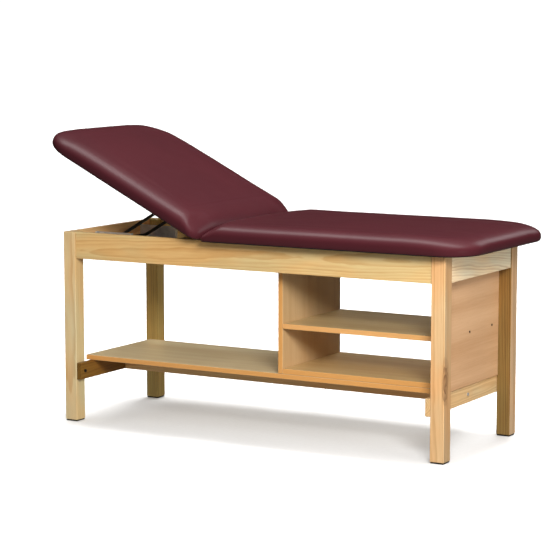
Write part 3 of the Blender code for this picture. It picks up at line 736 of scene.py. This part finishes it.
def build_cushion(name, body, length, direction, cells, seed):
    """An upholstered pad in place; direction +1 is the seat, -1 the raised back."""
    cells_u, cells_v = cells
    points, faces = cushion(length, cells_u, cells_v)
    points = shape(points, length, seed)
    if direction < 0:
        points[:, 0] *= -1
        faces = [f[::-1] for f in faces]
    mesh = bpy.data.meshes.new(name)
    mesh.from_pydata([tuple(p) for p in points], [], faces)
    turn = REST_ANGLE if direction < 0 else 0.0
    mesh.transform(Matrix.Translation(HINGE) @ Matrix.Rotation(turn, 4, "Y"))
    mesh.update()
    made = bpy.data.objects.new(name, mesh)
    scene.collection.objects.link(made)
    for polygon in mesh.polygons:
        polygon.use_smooth = True
    mesh.materials.append(VINYL)
    mesh.materials.append(BLACK_CLOTH)
    cover_and_shadow_faces = COVER_AND_SHADOW_RINGS * 2 * (cells_u + cells_v)
    # Painted shadow: the black cloth carried round the pad's lower corner draws the dark line under
    # the pad.
    for index, polygon in enumerate(mesh.polygons):
        polygon.material_index = 1 if index < cover_and_shadow_faces else 0
    low = np.clip(1.0 - (points[:, 2] - DECK_LOW - STAPLE_HIGH) / STAPLE_FADE, 0.0, 1.0)
    free = np.clip((points[:, 0] * direction - HINGE_CLEAR) / HINGE_FADE, 0.0, 1.0)
    inflate(made, np.round(low, 2), free ** 2 * (3 - 2 * free))
    smooth = made.modifiers.new("subdivision", "SUBSURF")
    smooth.levels = 1
    smooth.render_levels = 1
    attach(made, body)
    return made


seat_pad = build_cushion("seat_pad", "table", SEAT_LENGTH, 1, SEAT_CELLS, 1.7)
back_pad = build_cushion("back_pad", "back", BACK_LENGTH, -1, BACK_CELLS, 9.2)
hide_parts("seat_cushion")
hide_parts("back_cushion")

# ---------------------------------------------------------------- stage
FLOOR_SIZE = 60
FLOOR_DROP = 0.0006             # keeps the floor clear of the glides
bpy.ops.mesh.primitive_plane_add(size=FLOOR_SIZE, location=(0, 8, -FLOOR_DROP))
floor = bpy.context.object
floor.name = "floor"
paper = Graph("studio_floor")
speck = paper.noise(paper.place(), 60.0, detail=0)
paper.set(Base_Color=paper.mix(speck, (0.88, 0.88, 0.88), (0.92, 0.92, 0.92)))
paper.set(Roughness=0.8, Specular_IOR_Level=0.1)
floor.data.materials.append(paper.material)
floor.visible_diffuse = False
floor.visible_glossy = False

# The room: white where the camera sees it, and a dome that is brightest overhead as a light.
# ROOM gives strengths from straight down, 0, to straight up, 1.
WHITE = 1.05
ROOM = ((0.0, 0.42), (0.40, 0.30), (0.50, 0.04), (0.78, 0.06), (0.92, 1.20), (1.0, 2.20))
ROOM_COLOUR = (1.0, 0.99, 0.97, 1.0)
GLOSS_SHARE = 0.25              # how much of the dome reflections see


def build_world():
    world = bpy.data.worlds.new("studio")
    scene.world = world
    world.use_nodes = True
    tree = world.node_tree
    make, join = tree.nodes.new, tree.links.new
    white = tree.nodes["Background"]
    white.inputs["Color"].default_value = (1.0, 1.0, 1.0, 1.0)
    white.inputs["Strength"].default_value = WHITE
    room = make("ShaderNodeBackground")
    room.inputs["Color"].default_value = ROOM_COLOUR
    direction = make("ShaderNodeTexCoord")
    split = make("ShaderNodeSeparateXYZ")
    height = make("ShaderNodeMapRange")
    height.inputs["From Min"].default_value = -1.0
    level = make("ShaderNodeValToRGB")
    stops = level.color_ramp.elements
    while len(stops) < len(ROOM):
        stops.new(0.5)
    for stop, (where, strength) in zip(stops, ROOM):
        stop.position = where
        stop.color = (strength, strength, strength, 1.0)
    join(direction.outputs["Generated"], split.inputs[0])
    join(split.outputs["Z"], height.inputs["Value"])
    join(height.outputs[0], level.inputs[0])
    path = make("ShaderNodeLightPath")
    dim = make("ShaderNodeMath")
    dim.operation = "MULTIPLY_ADD"
    dim.inputs[1].default_value = GLOSS_SHARE - 1.0
    dim.inputs[2].default_value = 1.0
    scaled = make("ShaderNodeMath")
    scaled.operation = "MULTIPLY"
    join(path.outputs["Is Glossy Ray"], dim.inputs[0])
    join(level.outputs["Color"], scaled.inputs[0])
    join(dim.outputs[0], scaled.inputs[1])
    join(scaled.outputs[0], room.inputs["Strength"])
    choose = make("ShaderNodeMixShader")
    join(path.outputs["Is Camera Ray"], choose.inputs[0])
    join(room.outputs[0], choose.inputs[1])
    join(white.outputs[0], choose.inputs[2])
    join(choose.outputs[0], tree.nodes["World Output"].inputs["Surface"])


def sun(name, direction, strength, angle_deg):
    """A soft overhead light that makes no highlight."""
    light = bpy.data.lights.new(name, "SUN")
    light.energy = strength
    light.angle = math.radians(angle_deg)
    made = bpy.data.objects.new(name, light)
    made.rotation_euler = Vector(direction).to_track_quat("-Z", "Y").to_euler()
    made.visible_glossy = False
    scene.collection.objects.link(made)


def softbox(name, place, aim, size, watts, gloss_only=False):
    """A rectangular light that either lights the surfaces or only shows in their gloss."""
    light = bpy.data.lights.new(name, "AREA")
    light.shape = "RECTANGLE"
    light.size, light.size_y = size
    light.energy = watts
    made = bpy.data.objects.new(name, light)
    made.location = place
    made.rotation_euler = (Vector(aim) - Vector(place)).to_track_quat("-Z", "Y").to_euler()
    made.visible_camera = False
    made.visible_glossy = gloss_only
    made.visible_diffuse = not gloss_only
    scene.collection.objects.link(made)


build_world()
sun("overhead", (0.0, -0.07, -1.0), 3.3, 15)
softbox("front_box", (2.4, -2.9, 2.1), (0.0, 0.0, 0.45), (1.3, 1.0), 140)
softbox("side_box", (3.4, -1.0, 0.8), (0.7, 0.0, 0.5), (1.2, 1.0), 31)
softbox("ceiling_box", (0.0, 0.0, 4.0), (0.0, 0.0, 0.0), (5.0, 1.8), 76, gloss_only=True)
softbox("edge_box", (1.05, 1.25, 1.50), (0.88, 0.0, 0.77), (0.6, 0.7), 1.8, gloss_only=True)
softbox("back_fill", (-0.6, 4.2, 2.0), (0.0, 0.0, 0.4), (3.0, 2.0), 120)

# ---------------------------------------------------------------- camera
camera_data = bpy.data.cameras.new("camera")
camera_data.sensor_width = 36.0
camera_data.lens = 138.0
camera_data.clip_end = 200
camera = bpy.data.objects.new("camera", camera_data)
camera.location = (3.83461, -6.73360, 1.55350)
look = Vector((-0.49802, 0.85805, -0.12527))
camera.rotation_euler = look.to_track_quat("-Z", "Y").to_euler()
scene.collection.objects.link(camera)
scene.camera = camera
scene.view_settings.view_transform = "Standard"
scene.view_settings.look = "None"
